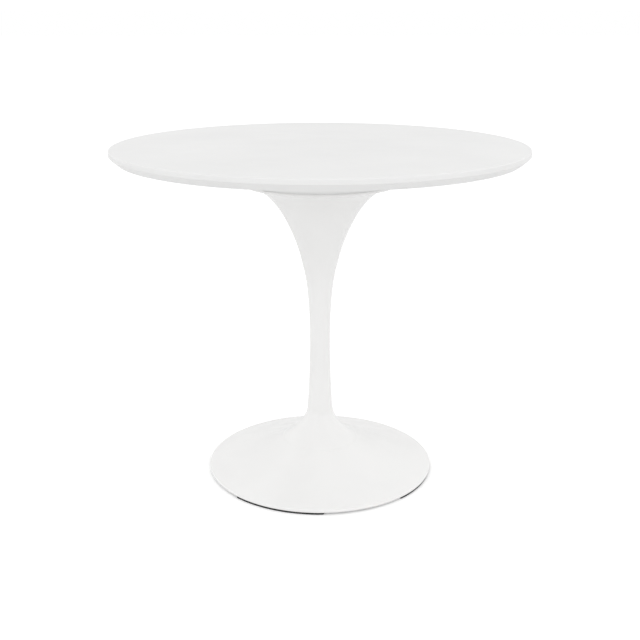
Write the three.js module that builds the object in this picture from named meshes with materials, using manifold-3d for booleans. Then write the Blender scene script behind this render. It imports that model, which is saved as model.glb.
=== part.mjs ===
// A round pedestal table: a bevelled round top on a hollow trumpet stem and a low domed base.
// Millimetres, +Z up. The origin is on the table's axis at floor level.

import * as THREE from 'three';
import { mergeVertices } from 'three/addons/utils/BufferGeometryUtils.js';
import Module from 'manifold-3d';

const wasm = await Module();
wasm.setup();

// ---------------------------------------------------------------- driving dimensions

const TABLE_HEIGHT = 752;
const GAP = 0.3; // free space kept between pieces that touch
const PASS = 1; // how far a cutting tool reaches past the faces that it cuts

// Tabletop: lacquered board with a bevelled underside
const TOP_RADIUS = 450;
const TOP_THICKNESS = 25;
const TOP_BEVEL_WIDTH = 17;
const TOP_BEVEL_HEIGHT = 14.5;
const TOP_EDGE_ROUND = 2.5;

// Stem: outer radius at the waist and at the bell's lip, and the heights between
const WAIST_RADIUS = 22.9;
const WAIST_HEIGHT = 303;
const LIP_RADIUS = 172;
const LIP_THICKNESS = 5.4;
const LIP_EDGE_ROUND = 0.5;
const LIP_NOSE_RADIUS = 2.7;
const LIP_LAND = 20;
const STEM_WALL = 5;
const STEM_BORE_RADIUS = 18;
const STEM_BORE_TOP = 404;
const BELL_FLOOR_RADIUS = 23; // where the bell narrows towards the bore
const BELL_FLOOR_HEIGHT = 482;

// Seam between stem and base
const SEAM_HEIGHT = 70;
const FOOT_BORE_RADIUS = 52;
const FOOT_BORE_DEPTH = 8;
const FOOT_CONE_TOP = 131;
const SPIGOT_HEIGHT = 6;
const SPIGOT_WALL = 11;

// Base: domed cast shell
const BASE_RADIUS = 260;
const BASE_RIM_TOP = 11.5;
const BASE_RIM_ROUND = 2;
const BASE_WALL = 6;
const BASE_RIM_WIDTH = 16;
const BASE_HUB_THICKNESS = 10;
const BASE_HUB_RADIUS = 84;

// Floor pads: arcs of rubber under the base's rim
const PAD_COUNT = 4;
const PAD_HEIGHT = 4;
const PAD_OUTER = 258;
const PAD_INNER = 246;
const PAD_SWEEP = 48; // degrees
const PAD_START = -136; // degrees from +X to where the first pad begins

// Hub: two boards under the top, with one taper cut round both
const HUB_BOARD = 25;
const HUB_BOTTOM_RADIUS = 172;
const HUB_TOP_RADIUS = 204;
const HUB_SCREW_COUNT = 8;
const HUB_SCREW_CIRCLE = 138;
const HUB_SCREW_RADIUS = 2.5;
const HUB_SCREW_HEAD_RADIUS = 4.8;
const HUB_SCREW_HEAD_HEIGHT = 3;
const HUB_SCREW_LENGTH = 68;
const HUB_SCREW_TIP_LENGTH = 5;

// Steel mounting plate inside the bell, its screws and threaded inserts
const PLATE_RADIUS = 125;
const PLATE_THICKNESS = 6;
const PLATE_SCREW_COUNT = 6;
const PLATE_SCREW_CIRCLE = 95;
const PLATE_SCREW_RADIUS = 4;
const PLATE_SCREW_REACH = 20;
const INSERT_RADIUS = 6.2;
const INSERT_LENGTH = 16;
const INSERT_POCKET_SPARE = 5; // room above the insert for the screw's end

// Gasket between the bell's lip and the hub
const GASKET_THICKNESS = 1.4;
const GASKET_OUTER = 171.7;
const GASKET_INNER = 154;

// Tie rod and its hardware
const ROD_RADIUS = 8;
const ROD_HOLE_RADIUS = 9;
const ROD_BOTTOM = 32;
const ROD_NUT_ACROSS_FLATS = 24;
const ROD_NUT_HEIGHT = 13;
const COUPLING_NUT_LENGTH = 40;
const ROD_ENGAGEMENT = 36;
const CLAMP_WASHER_RADIUS = 36;
const CLAMP_WASHER_THICKNESS = 6;
const SPRING_WASHER_RADIUS = 13;
const SPRING_WASHER_THICKNESS = 3.5;
const SPRING_WASHER_OPENING = 12; // degrees

// Locating pins between stem and base
const PIN_COUNT = 2;
const PIN_CIRCLE = 63;
const PIN_RADIUS = 3;
const PIN_LENGTH = 12;

// Ballast ring inside the base, its screws and washers
const BALLAST_OUTER = 170;
const BALLAST_INNER = 40;
const BALLAST_BOTTOM = 10;
const BALLAST_THICKNESS = 13;
const BALLAST_SCREW_COUNT = 4;
const BALLAST_SCREW_CIRCLE = 130;
const BALLAST_SCREW_RADIUS = 4;
const BALLAST_SCREW_REACH = 13;
const COUNTERBORE_RADIUS = 11;
const COUNTERBORE_DEPTH = 6;
const BOSS_RADIUS = 10;
const BOSS_TOP = 42; // inside the dome's wall
const BOSS_THREAD_SPARE = 2;
const WASHER_THICKNESS = 1.3;
const WASHER_RADIUS = 8.5;

// Hexagon heads of the M8 screws
const HEAD_ACROSS_FLATS = 13;
const HEAD_HEIGHT = 5.3;

// Facets round a full turn, and steps along each curve
const ROUND_FACETS = 40;
const ROD_FACETS = 16;
const SCREW_FACETS = 8;
const FLARE_STEPS = 9;
const TAPER_STEPS = 4;
const FOOT_STEPS = 5;
const DOME_STEPS = 6;
const PAD_STEPS = 6;

// ---------------------------------------------------------------- derived heights

const TOP_UNDERSIDE = TABLE_HEIGHT - TOP_THICKNESS;
const UPPER_HUB_TOP = TOP_UNDERSIDE - GAP;
const UPPER_HUB_BOTTOM = UPPER_HUB_TOP - HUB_BOARD;
const LOWER_HUB_TOP = UPPER_HUB_BOTTOM - GAP;
const LOWER_HUB_BOTTOM = LOWER_HUB_TOP - HUB_BOARD;
const PLATE_TOP = LOWER_HUB_BOTTOM - GAP;
const PLATE_BOTTOM = PLATE_TOP - PLATE_THICKNESS;
const COUPLING_NUT_TOP = PLATE_BOTTOM - GAP;
const COUPLING_NUT_BOTTOM = COUPLING_NUT_TOP - COUPLING_NUT_LENGTH;
const GASKET_TOP = LOWER_HUB_BOTTOM - GAP;
const LIP_TOP = GASKET_TOP - GASKET_THICKNESS - GAP;
const LIP_BOTTOM = LIP_TOP - LIP_THICKNESS;
const SEAT_HEIGHT = SEAM_HEIGHT - GAP;
const BASE_HUB_UNDERSIDE = SEAT_HEIGHT - BASE_HUB_THICKNESS;
const BASE_RIM_BOTTOM = PAD_HEIGHT + GAP;
const CLAMP_WASHER_TOP = BASE_HUB_UNDERSIDE - GAP;
const SPRING_WASHER_TOP = CLAMP_WASHER_TOP - CLAMP_WASHER_THICKNESS - GAP;
const ROD_NUT_TOP = SPRING_WASHER_TOP - SPRING_WASHER_THICKNESS - GAP;
const BALLAST_TOP = BALLAST_BOTTOM + BALLAST_THICKNESS;
const BALLAST_WASHER_TOP = BALLAST_BOTTOM + COUNTERBORE_DEPTH - GAP;
const BALLAST_HEAD_TOP = BALLAST_WASHER_TOP - WASHER_THICKNESS - GAP;

// ---------------------------------------------------------------- finishes

function finish(color, roughness, metalness) {
  return new THREE.MeshStandardMaterial({ color, roughness, metalness });
}

const FINISHES = {
  whiteTop: () => finish(0xf4f4f2, 0.3, 0),
  whiteMetal: () => finish(0xf2f2f1, 0.25, 0),
  zinc: () => finish(0xb9bdc1, 0.35, 1),
  brass: () => finish(0xc9a557, 0.35, 1),
  castIron: () => finish(0x3b3d40, 0.7, 0.6),
  blackRubber: () => finish(0x17181a, 0.85, 0),
  foam: () => finish(0xd9d9d6, 0.9, 0),
};

// ---------------------------------------------------------------- geometry helpers

function toSolid(geometry) {
  const bare = geometry.clone();
  bare.deleteAttribute('normal');
  bare.deleteAttribute('uv');
  const merged = mergeVertices(bare, 1e-4);
  const triangles = [];
  for (let i = 0; i < merged.index.count; i += 3) {
    const [a, b, c] = [0, 1, 2].map((k) => merged.index.getX(i + k));
    if (a !== b && b !== c && c !== a) {
      triangles.push(a, b, c);
    }
  }
  const mesh = { numProp: 3, vertProperties: merged.attributes.position.array };
  mesh.triVerts = Uint32Array.from(triangles);
  return new wasm.Manifold(new wasm.Mesh(mesh));
}

function toGeometry(solid) {
  const { vertProperties, triVerts } = solid.getMesh();
  const geometry = new THREE.BufferGeometry();
  geometry.setAttribute('position', new THREE.BufferAttribute(vertProperties, 3));
  geometry.setIndex(new THREE.BufferAttribute(triVerts, 1));
  geometry.computeVertexNormals();
  return geometry;
}

// Solid of revolution about Z. The outline is a list of [radius, height] points that runs
// anticlockwise, so that the faces point out. An outline clear of the axis is closed into a ring.
function revolve(outline, facets) {
  const points = outline.map(([radius, height]) => new THREE.Vector2(radius, height));
  const touchesAxis = outline[0][0] === 0;
  if (!touchesAxis) {
    points.push(points[0].clone());
  }
  return new THREE.LatheGeometry(points, facets).rotateX(Math.PI / 2);
}

function cylinder(radius, bottom, top, facets) {
  return revolve([[0, bottom], [radius, bottom], [radius, top], [0, top]], facets);
}

function tube(inner, outer, bottom, top, facets) {
  return revolve([[inner, bottom], [outer, bottom], [outer, top], [inner, top]], facets);
}

function hexagon(acrossFlats) {
  const corner = acrossFlats / Math.sqrt(3);
  const points = [];
  for (let i = 0; i < 6; i += 1) {
    const angle = (i * Math.PI) / 3;
    points.push(new THREE.Vector2(corner * Math.cos(angle), corner * Math.sin(angle)));
  }
  return new THREE.Shape(points);
}

function prism(shape, bottom, top) {
  const options = { depth: top - bottom, bevelEnabled: false, curveSegments: SCREW_FACETS };
  return new THREE.ExtrudeGeometry(shape, options).translate(0, 0, bottom);
}

function join(...geometries) {
  const solids = geometries.map(toSolid);
  return toGeometry(solids.reduce((whole, piece) => whole.add(piece)));
}

function cut(geometry, tools) {
  const solids = tools.map(toSolid);
  return toGeometry(solids.reduce((whole, tool) => whole.subtract(tool), toSolid(geometry)));
}

// Centres of evenly spaced holes on a circle about the axis
function circlePattern(count, radius, firstAngle = 0) {
  const centres = [];
  for (let i = 0; i < count; i += 1) {
    const angle = firstAngle + (i * 2 * Math.PI) / count;
    centres.push({ x: radius * Math.cos(angle), y: radius * Math.sin(angle) });
  }
  return centres;
}

function repeatAt(centres, geometry) {
  return centres.map(({ x, y }) => geometry.clone().translate(x, y, 0));
}

function piece(name, geometry, material) {
  const mesh = new THREE.Mesh(geometry, material);
  mesh.name = name;
  return mesh;
}

// Identical pieces, one named mesh at each centre
function pieces(name, centres, geometry, makeMaterial) {
  return centres.map(({ x, y }, i) => {
    const mesh = piece(`${name}_${i + 1}`, geometry, makeMaterial());
    mesh.position.set(x, y, 0);
    return mesh;
  });
}

// ---------------------------------------------------------------- outline of the pedestal

// Four curves give the pedestal's outer outline as (radius, height):
// the upper taper and the bell above the waist, the lower taper and the foot below it.
function curve(...points) {
  return new THREE.CubicBezierCurve(...points.map(([r, z]) => new THREE.Vector2(r, z)));
}

const WAIST = [WAIST_RADIUS, WAIST_HEIGHT];
const LIP_UNDERSIDE = [LIP_RADIUS - LIP_NOSE_RADIUS, LIP_BOTTOM];
const BASE_EDGE = [BASE_RADIUS - BASE_RIM_ROUND, BASE_RIM_TOP];
const UPPER_TAPER = curve(WAIST, [WAIST_RADIUS, 448], [36.7, 474.8], [41.2, 497.7]);
const BELL = curve([41.2, 497.7], [46.1, 522.7], [87.2, 663.4], LIP_UNDERSIDE);
const LOWER_TAPER = curve(WAIST, [WAIST_RADIUS, 293], [25, 145.8], [31.5, 130.1]);
const FOOT = curve([31.5, 130.1], [61.8, 57.9], [157.5, 37.5], BASE_EDGE);

function sample(path, from, to, steps) {
  const points = [];
  for (let i = 0; i <= steps; i += 1) {
    const { x, y } = path.getPoint(from + ((to - from) * i) / steps);
    points.push([x, y]);
  }
  return points;
}

// Parameter at which a falling curve passes a height
function parameterAtHeight(path, height) {
  let low = 0;
  let high = 1;
  for (let i = 0; i < 40; i += 1) {
    const middle = (low + high) / 2;
    if (path.getPoint(middle).y > height) {
      low = middle;
    } else {
      high = middle;
    }
  }
  return low;
}

// Moves each point of an open outline sideways, to the left of its direction of travel
function offset(points, distance) {
  return points.map(([r, z], i) => {
    const before = points[Math.max(i - 1, 0)];
    const after = points[Math.min(i + 1, points.length - 1)];
    const along = new THREE.Vector2(after[0] - before[0], after[1] - before[1]).normalize();
    return [r - distance * along.y, z + distance * along.x];
  });
}

// Stretch of a circle about (r, z), from one angle to another in degrees
function arc(r, z, radius, from, to, steps) {
  const points = [];
  for (let i = 0; i <= steps; i += 1) {
    const angle = THREE.MathUtils.degToRad(from + ((to - from) * i) / steps);
    points.push([r + radius * Math.cos(angle), z + radius * Math.sin(angle)]);
  }
  return points;
}

// ---------------------------------------------------------------- hole patterns

const HUB_SCREWS = circlePattern(HUB_SCREW_COUNT, HUB_SCREW_CIRCLE, Math.PI / HUB_SCREW_COUNT);
const PLATE_SCREWS = circlePattern(PLATE_SCREW_COUNT, PLATE_SCREW_CIRCLE);
const PINS = circlePattern(PIN_COUNT, PIN_CIRCLE);
const BALLAST_SCREWS = circlePattern(BALLAST_SCREW_COUNT, BALLAST_SCREW_CIRCLE, Math.PI / 4);

// ---------------------------------------------------------------- tabletop and hub

const HUB_SCREW_TIP = LOWER_HUB_BOTTOM + GAP + HUB_SCREW_LENGTH;

function makeTabletop() {
  const bevelInner = TOP_RADIUS - TOP_BEVEL_WIDTH;
  const edgeBottom = TOP_UNDERSIDE + TOP_BEVEL_HEIGHT;
  const roundCentre = [TOP_RADIUS - TOP_EDGE_ROUND, TABLE_HEIGHT - TOP_EDGE_ROUND];
  const board = revolve([
    [0, TOP_UNDERSIDE],
    [bevelInner, TOP_UNDERSIDE],
    [TOP_RADIUS, edgeBottom],
    ...arc(...roundCentre, TOP_EDGE_ROUND, 0, 90, 2),
    [0, TABLE_HEIGHT],
  ], ROUND_FACETS);
  const pilot = cylinder(HUB_SCREW_RADIUS + GAP, TOP_UNDERSIDE - PASS, HUB_SCREW_TIP + PASS, SCREW_FACETS);
  return piece('tabletop', cut(board, repeatAt(HUB_SCREWS, pilot)), FINISHES.whiteTop());
}

// The hub's edge is one straight taper across both boards
function hubRadius(height) {
  const share = (height - LOWER_HUB_BOTTOM) / (UPPER_HUB_TOP - LOWER_HUB_BOTTOM);
  return THREE.MathUtils.lerp(HUB_BOTTOM_RADIUS, HUB_TOP_RADIUS, share);
}

function makeUpperHubDisc() {
  const board = revolve([
    [0, UPPER_HUB_BOTTOM],
    [hubRadius(UPPER_HUB_BOTTOM), UPPER_HUB_BOTTOM],
    [HUB_TOP_RADIUS, UPPER_HUB_TOP],
    [0, UPPER_HUB_TOP],
  ], ROUND_FACETS);
  const hole = cylinder(HUB_SCREW_RADIUS + GAP, UPPER_HUB_BOTTOM - PASS, UPPER_HUB_TOP + PASS, SCREW_FACETS);
  return piece('hub_disc_upper', cut(board, repeatAt(HUB_SCREWS, hole)), FINISHES.whiteTop());
}

function makeLowerHubDisc() {
  const board = revolve([
    [0, LOWER_HUB_BOTTOM],
    [HUB_BOTTOM_RADIUS, LOWER_HUB_BOTTOM],
    [hubRadius(LOWER_HUB_TOP), LOWER_HUB_TOP],
    [0, LOWER_HUB_TOP],
  ], ROUND_FACETS);
  const holeRadius = HUB_SCREW_RADIUS + GAP;
  const mouthRadius = HUB_SCREW_HEAD_RADIUS + GAP;
  const coneTop = LOWER_HUB_BOTTOM + GAP + HUB_SCREW_HEAD_HEIGHT;
  const countersunkHole = revolve([
    [0, LOWER_HUB_BOTTOM - PASS],
    [mouthRadius, LOWER_HUB_BOTTOM - PASS],
    [mouthRadius, LOWER_HUB_BOTTOM + GAP],
    [holeRadius, coneTop],
    [holeRadius, LOWER_HUB_TOP + PASS],
    [0, LOWER_HUB_TOP + PASS],
  ], SCREW_FACETS);
  const pocketTop = LOWER_HUB_BOTTOM + GAP + INSERT_LENGTH + INSERT_POCKET_SPARE;
  const pocket = cylinder(INSERT_RADIUS + GAP, LOWER_HUB_BOTTOM - PASS, pocketTop, SCREW_FACETS);
  const tools = [...repeatAt(HUB_SCREWS, countersunkHole), ...repeatAt(PLATE_SCREWS, pocket)];
  return piece('hub_disc_lower', cut(board, tools), FINISHES.whiteTop());
}

function makeHubScrews() {
  const headBottom = LOWER_HUB_BOTTOM + GAP;
  const screw = revolve([
    [0, headBottom],
    [HUB_SCREW_HEAD_RADIUS, headBottom],
    [HUB_SCREW_RADIUS, headBottom + HUB_SCREW_HEAD_HEIGHT],
    [HUB_SCREW_RADIUS, HUB_SCREW_TIP - HUB_SCREW_TIP_LENGTH],
    [0, HUB_SCREW_TIP],
  ], SCREW_FACETS);
  return pieces('hub_screw', HUB_SCREWS, toGeometry(toSolid(screw)), FINISHES.zinc);
}

// ---------------------------------------------------------------- mounting plate and gasket

function makeInserts() {
  const bottom = LOWER_HUB_BOTTOM + GAP;
  const bore = PLATE_SCREW_RADIUS + GAP;
  const insert = tube(bore, INSERT_RADIUS, bottom, bottom + INSERT_LENGTH, SCREW_FACETS);
  return pieces('threaded_insert', PLATE_SCREWS, insert, FINISHES.brass);
}

function makeMountingPlate() {
  const disc = cylinder(PLATE_RADIUS, PLATE_BOTTOM, PLATE_TOP, ROUND_FACETS);
  const hole = cylinder(PLATE_SCREW_RADIUS + GAP, PLATE_BOTTOM - PASS, PLATE_TOP + PASS, SCREW_FACETS);
  return piece('mounting_plate', cut(disc, repeatAt(PLATE_SCREWS, hole)), FINISHES.zinc());
}

function hexScrew(headTop, shankTop, radius) {
  const head = prism(hexagon(HEAD_ACROSS_FLATS), headTop - HEAD_HEIGHT, headTop);
  const shank = cylinder(radius, headTop - PASS, shankTop, SCREW_FACETS);
  return join(head, shank);
}

function makeMountingScrews() {
  const headTop = PLATE_BOTTOM - GAP;
  const screw = hexScrew(headTop, headTop + PLATE_SCREW_REACH, PLATE_SCREW_RADIUS);
  return pieces('mounting_screw', PLATE_SCREWS, screw, FINISHES.zinc);
}

function makeGasket() {
  const ring = tube(GASKET_INNER, GASKET_OUTER, LIP_TOP + GAP, GASKET_TOP, ROUND_FACETS);
  return piece('bell_gasket', ring, FINISHES.foam());
}

// ---------------------------------------------------------------- stem

function makeStem() {
  const seam = parameterAtHeight(FOOT, SEAM_HEIGHT);
  const bell = sample(BELL, 0, 1, FLARE_STEPS);
  const outside = [
    ...sample(FOOT, seam, 0, FOOT_STEPS),
    ...sample(LOWER_TAPER, 1, 0, TAPER_STEPS).slice(1),
    ...sample(UPPER_TAPER, 0, 1, TAPER_STEPS).slice(1),
    ...bell.slice(1),
  ];
  const noseCentre = [LIP_RADIUS - LIP_NOSE_RADIUS, LIP_BOTTOM + LIP_NOSE_RADIUS];
  const lip = [
    ...arc(...noseCentre, LIP_NOSE_RADIUS, -90, 0, 2).slice(1),
    [LIP_RADIUS, LIP_TOP - LIP_EDGE_ROUND],
    [LIP_RADIUS - LIP_EDGE_ROUND, LIP_TOP],
  ];
  const landInner = LIP_RADIUS - LIP_NOSE_RADIUS - LIP_LAND;
  const bellInside = ([r, z]) => r < landInner - STEM_WALL && z > bell[0][1] + STEM_WALL;
  const bore = [
    [landInner, LIP_TOP],
    ...offset(bell, STEM_WALL).filter(bellInside).reverse(),
    [BELL_FLOOR_RADIUS, BELL_FLOOR_HEIGHT],
    [STEM_BORE_RADIUS, STEM_BORE_TOP],
    [STEM_BORE_RADIUS, FOOT_CONE_TOP],
    [FOOT_BORE_RADIUS, SEAM_HEIGHT + FOOT_BORE_DEPTH],
    [FOOT_BORE_RADIUS, SEAM_HEIGHT],
  ];
  const shell = revolve([...outside, ...lip, ...bore], ROUND_FACETS);
  const socketTop = SEAT_HEIGHT + PIN_LENGTH / 2 + GAP;
  const socket = cylinder(PIN_RADIUS + GAP, SEAM_HEIGHT - PASS, socketTop, SCREW_FACETS);
  return piece('stem', cut(shell, repeatAt(PINS, socket)), FINISHES.whiteMetal());
}

// ---------------------------------------------------------------- base

function makeBase() {
  const seam = parameterAtHeight(FOOT, SEAT_HEIGHT);
  const dome = sample(FOOT, seam, 1, DOME_STEPS);
  const spigotOuter = FOOT_BORE_RADIUS - GAP;
  const spigotTop = SEAT_HEIGHT + SPIGOT_HEIGHT;
  const rimInner = BASE_RADIUS - BASE_RIM_WIDTH;
  const underVault = ([r, z]) => r < rimInner - BASE_WALL && z < BASE_HUB_UNDERSIDE - BASE_RIM_ROUND;
  const shell = revolve([
    [ROD_HOLE_RADIUS, BASE_HUB_UNDERSIDE],
    [BASE_HUB_RADIUS, BASE_HUB_UNDERSIDE],
    ...offset(dome, -BASE_WALL).filter(underVault),
    [rimInner, BASE_RIM_TOP - BASE_RIM_ROUND],
    [rimInner, BASE_RIM_BOTTOM],
    [BASE_RADIUS - BASE_RIM_ROUND / 2, BASE_RIM_BOTTOM],
    [BASE_RADIUS, BASE_RIM_BOTTOM + BASE_RIM_ROUND],
    [BASE_RADIUS, BASE_RIM_TOP - BASE_RIM_ROUND],
    ...dome.reverse(),
    [spigotOuter, SEAT_HEIGHT],
    [spigotOuter, spigotTop],
    [spigotOuter - SPIGOT_WALL, spigotTop],
    [spigotOuter - SPIGOT_WALL, SEAT_HEIGHT],
    [ROD_HOLE_RADIUS, SEAT_HEIGHT],
  ], ROUND_FACETS);
  const boss = cylinder(BOSS_RADIUS, BALLAST_TOP + GAP, BOSS_TOP, SCREW_FACETS);
  const bossed = join(shell, ...repeatAt(BALLAST_SCREWS, boss));
  const threadTop = BALLAST_TOP + BALLAST_SCREW_REACH + BOSS_THREAD_SPARE;
  const thread = cylinder(BALLAST_SCREW_RADIUS + GAP, BALLAST_TOP - PASS, threadTop, SCREW_FACETS);
  const socketBottom = SEAT_HEIGHT - PIN_LENGTH / 2 - GAP;
  const socket = cylinder(PIN_RADIUS + GAP, socketBottom, SEAT_HEIGHT + PASS, SCREW_FACETS);
  const tools = [...repeatAt(BALLAST_SCREWS, thread), ...repeatAt(PINS, socket)];
  return piece('base', cut(bossed, tools), FINISHES.whiteMetal());
}

function makePins() {
  const half = PIN_LENGTH / 2;
  const pin = cylinder(PIN_RADIUS, SEAT_HEIGHT - half, SEAT_HEIGHT + half, SCREW_FACETS);
  return pieces('locating_pin', PINS, pin, FINISHES.zinc);
}

function makeFloorPads() {
  const spacing = 360 / PAD_COUNT;
  const names = Array.from({ length: PAD_COUNT }, (_, i) => `floor_pad_${i + 1}`);
  return names.map((name, i) => {
    const start = PAD_START + i * spacing;
    const outer = arc(0, 0, PAD_OUTER, start, start + PAD_SWEEP, PAD_STEPS);
    const inner = arc(0, 0, PAD_INNER, start + PAD_SWEEP, start, PAD_STEPS);
    const outline = [...outer, ...inner].map(([x, y]) => new THREE.Vector2(x, y));
    return piece(name, prism(new THREE.Shape(outline), 0, PAD_HEIGHT), FINISHES.blackRubber());
  });
}

// ---------------------------------------------------------------- tie rod and its hardware

function makeTieRod() {
  const rod = cylinder(ROD_RADIUS, ROD_BOTTOM, COUPLING_NUT_BOTTOM + ROD_ENGAGEMENT, ROD_FACETS);
  return piece('tie_rod', rod, FINISHES.zinc());
}

function hexNut(bottom, top) {
  const shape = hexagon(ROD_NUT_ACROSS_FLATS);
  const bore = new THREE.Path();
  bore.absarc(0, 0, ROD_RADIUS + 2 * GAP, 0, 2 * Math.PI);
  shape.holes.push(bore);
  return prism(shape, bottom, top);
}

function makeCouplingNut() {
  const nut = hexNut(COUPLING_NUT_BOTTOM, COUPLING_NUT_TOP);
  return piece('coupling_nut', nut, FINISHES.zinc());
}

function makeClampWasher() {
  const bottom = CLAMP_WASHER_TOP - CLAMP_WASHER_THICKNESS;
  const washer = tube(ROD_HOLE_RADIUS, CLAMP_WASHER_RADIUS, bottom, CLAMP_WASHER_TOP, ROUND_FACETS);
  return piece('clamp_washer', washer, FINISHES.zinc());
}

// A ring with one small opening, as a split spring washer has
function makeSpringWasher() {
  const start = THREE.MathUtils.degToRad(SPRING_WASHER_OPENING / 2);
  const end = 2 * Math.PI - start;
  const outline = new THREE.Shape();
  outline.absarc(0, 0, SPRING_WASHER_RADIUS, start, end, false);
  outline.absarc(0, 0, ROD_RADIUS + 2 * GAP, end, start, true);
  outline.closePath();
  const washer = prism(outline, SPRING_WASHER_TOP - SPRING_WASHER_THICKNESS, SPRING_WASHER_TOP);
  return piece('spring_washer', washer, FINISHES.zinc());
}

function makeTieRodNut() {
  return piece('tie_rod_nut', hexNut(ROD_NUT_TOP - ROD_NUT_HEIGHT, ROD_NUT_TOP), FINISHES.zinc());
}

// ---------------------------------------------------------------- ballast

function makeBallastRing() {
  const ring = tube(BALLAST_INNER, BALLAST_OUTER, BALLAST_BOTTOM, BALLAST_TOP, ROUND_FACETS);
  const seat = BALLAST_BOTTOM + COUNTERBORE_DEPTH;
  const counterbore = cylinder(COUNTERBORE_RADIUS, BALLAST_BOTTOM - PASS, seat, SCREW_FACETS);
  const hole = cylinder(BALLAST_SCREW_RADIUS + GAP, seat - PASS, BALLAST_TOP + PASS, SCREW_FACETS);
  const tools = [...repeatAt(BALLAST_SCREWS, counterbore), ...repeatAt(BALLAST_SCREWS, hole)];
  return piece('ballast_ring', cut(ring, tools), FINISHES.castIron());
}

function makeBallastWashers() {
  const bottom = BALLAST_WASHER_TOP - WASHER_THICKNESS;
  const bore = BALLAST_SCREW_RADIUS + GAP;
  const washer = tube(bore, WASHER_RADIUS, bottom, BALLAST_WASHER_TOP, SCREW_FACETS);
  return pieces('ballast_washer', BALLAST_SCREWS, washer, FINISHES.zinc);
}

function makeBallastScrews() {
  const shankTop = BALLAST_TOP + BALLAST_SCREW_REACH;
  const screw = hexScrew(BALLAST_HEAD_TOP, shankTop, BALLAST_SCREW_RADIUS);
  return pieces('ballast_screw', BALLAST_SCREWS, screw, FINISHES.zinc);
}

// ---------------------------------------------------------------- assembly

const topAssembly = new THREE.Group();
topAssembly.add(makeTabletop(), makeUpperHubDisc(), makeLowerHubDisc(), ...makeHubScrews());
topAssembly.add(...makeInserts(), makeMountingPlate(), ...makeMountingScrews(), makeCouplingNut());

const pedestal = new THREE.Group();
pedestal.add(makeGasket(), makeStem(), makeTieRod(), ...makePins());

const baseAssembly = new THREE.Group();
baseAssembly.add(makeBase(), makeClampWasher(), makeSpringWasher(), makeTieRodNut());
baseAssembly.add(makeBallastRing(), ...makeBallastWashers(), ...makeBallastScrews(), ...makeFloorPads());

const group = new THREE.Group();
group.add(topAssembly, pedestal, baseAssembly);

export default group;
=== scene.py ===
"""Looks of the round pedestal table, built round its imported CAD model. Outlines are in millimetres."""

import math

import bpy
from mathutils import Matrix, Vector


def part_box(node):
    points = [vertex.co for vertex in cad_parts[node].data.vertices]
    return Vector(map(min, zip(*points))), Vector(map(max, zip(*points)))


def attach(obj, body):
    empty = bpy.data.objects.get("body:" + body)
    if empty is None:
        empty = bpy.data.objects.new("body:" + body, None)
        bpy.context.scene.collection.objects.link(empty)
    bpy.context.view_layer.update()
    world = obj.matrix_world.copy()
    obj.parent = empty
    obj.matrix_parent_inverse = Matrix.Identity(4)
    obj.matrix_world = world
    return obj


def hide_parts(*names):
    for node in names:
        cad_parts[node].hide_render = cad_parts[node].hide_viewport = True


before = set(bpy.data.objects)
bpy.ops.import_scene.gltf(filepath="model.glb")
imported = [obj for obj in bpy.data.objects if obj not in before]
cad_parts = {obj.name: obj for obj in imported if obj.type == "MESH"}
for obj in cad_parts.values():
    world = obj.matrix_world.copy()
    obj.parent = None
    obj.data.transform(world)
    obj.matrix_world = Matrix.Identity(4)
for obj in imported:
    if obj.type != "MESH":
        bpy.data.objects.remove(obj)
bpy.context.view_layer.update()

MM = 0.001
TURN = 2 * math.pi

TABLE_AXIS = (0, 0)

# Allowances, in millimetres
HAIRLINE = 0.05  # what is left of the free space between pieces that touch
SUPPORT = 0.6  # flat kept next to a rounded edge, so that the flat face shades flat
PASS = 1  # how far a cutting tool runs past the face that it enters

# Facets round a full turn
WIDE_FACETS = 288
STEM_FACETS = 192
SMALL_FACETS = 48
HEX_FACETS = 72
THREAD_FACETS = 36
HOLE_FACETS = 24


# ---------------------------------------------------------------- places, read from the frame

def bottom(node):
    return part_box(node)[0].z / MM


def top(node):
    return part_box(node)[1].z / MM


def radius(node):
    low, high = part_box(node)
    return (high.x - low.x) / 2 / MM


def centre(node):
    low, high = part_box(node)
    return (low.x + high.x) / 2, (low.y + high.y) / 2


def across_flats_of(node):
    """Width across the flats of a hexagonal node, whose corners point along X."""
    low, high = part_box(node)
    return (high.y - low.y) / MM


def nodes_named(stem):
    """The CAD nodes called stem_1, stem_2 and so on, in order."""
    found = [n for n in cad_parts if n.rpartition("_")[0] == stem and n.rpartition("_")[2].isdigit()]
    return sorted(found, key=lambda n: int(n.rpartition("_")[2]))


# ---------------------------------------------------------------- outlines

def arc(r, z, size, start, end, steps):
    """Points on a circle about (r, z) from one angle to another, in degrees."""
    angles = [math.radians(start + (end - start) * k / steps) for k in range(steps + 1)]
    return [(r + size * math.cos(a), z + size * math.sin(a)) for a in angles]


def bezier(points, steps, start=0.0, end=1.0):
    """Points on a cubic curve between two of its parameters."""
    a, b, c, d = (Vector(p) for p in points)
    found = []
    for k in range(steps + 1):
        t = start + (end - start) * k / steps
        u = 1 - t
        found.append(tuple(u * u * u * a + 3 * u * u * t * b + 3 * u * t * t * c + t * t * t * d))
    return found


def parameter_at_height(points, height):
    """Where a falling curve passes a height."""
    low, high = 0.0, 1.0
    for _ in range(40):
        middle = (low + high) / 2
        if bezier(points, 1, middle, middle)[0][1] > height:
            low = middle
        else:
            high = middle
    return low


def offset(points, distance):
    """An open outline moved sideways, to the left of its direction of travel."""
    moved = []
    for i, (r, z) in enumerate(points):
        before = Vector(points[max(i - 1, 0)])
        after = Vector(points[min(i + 1, len(points) - 1)])
        along = (after - before).normalized()
        moved.append((r - distance * along.y, z + distance * along.x))
    return moved


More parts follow.
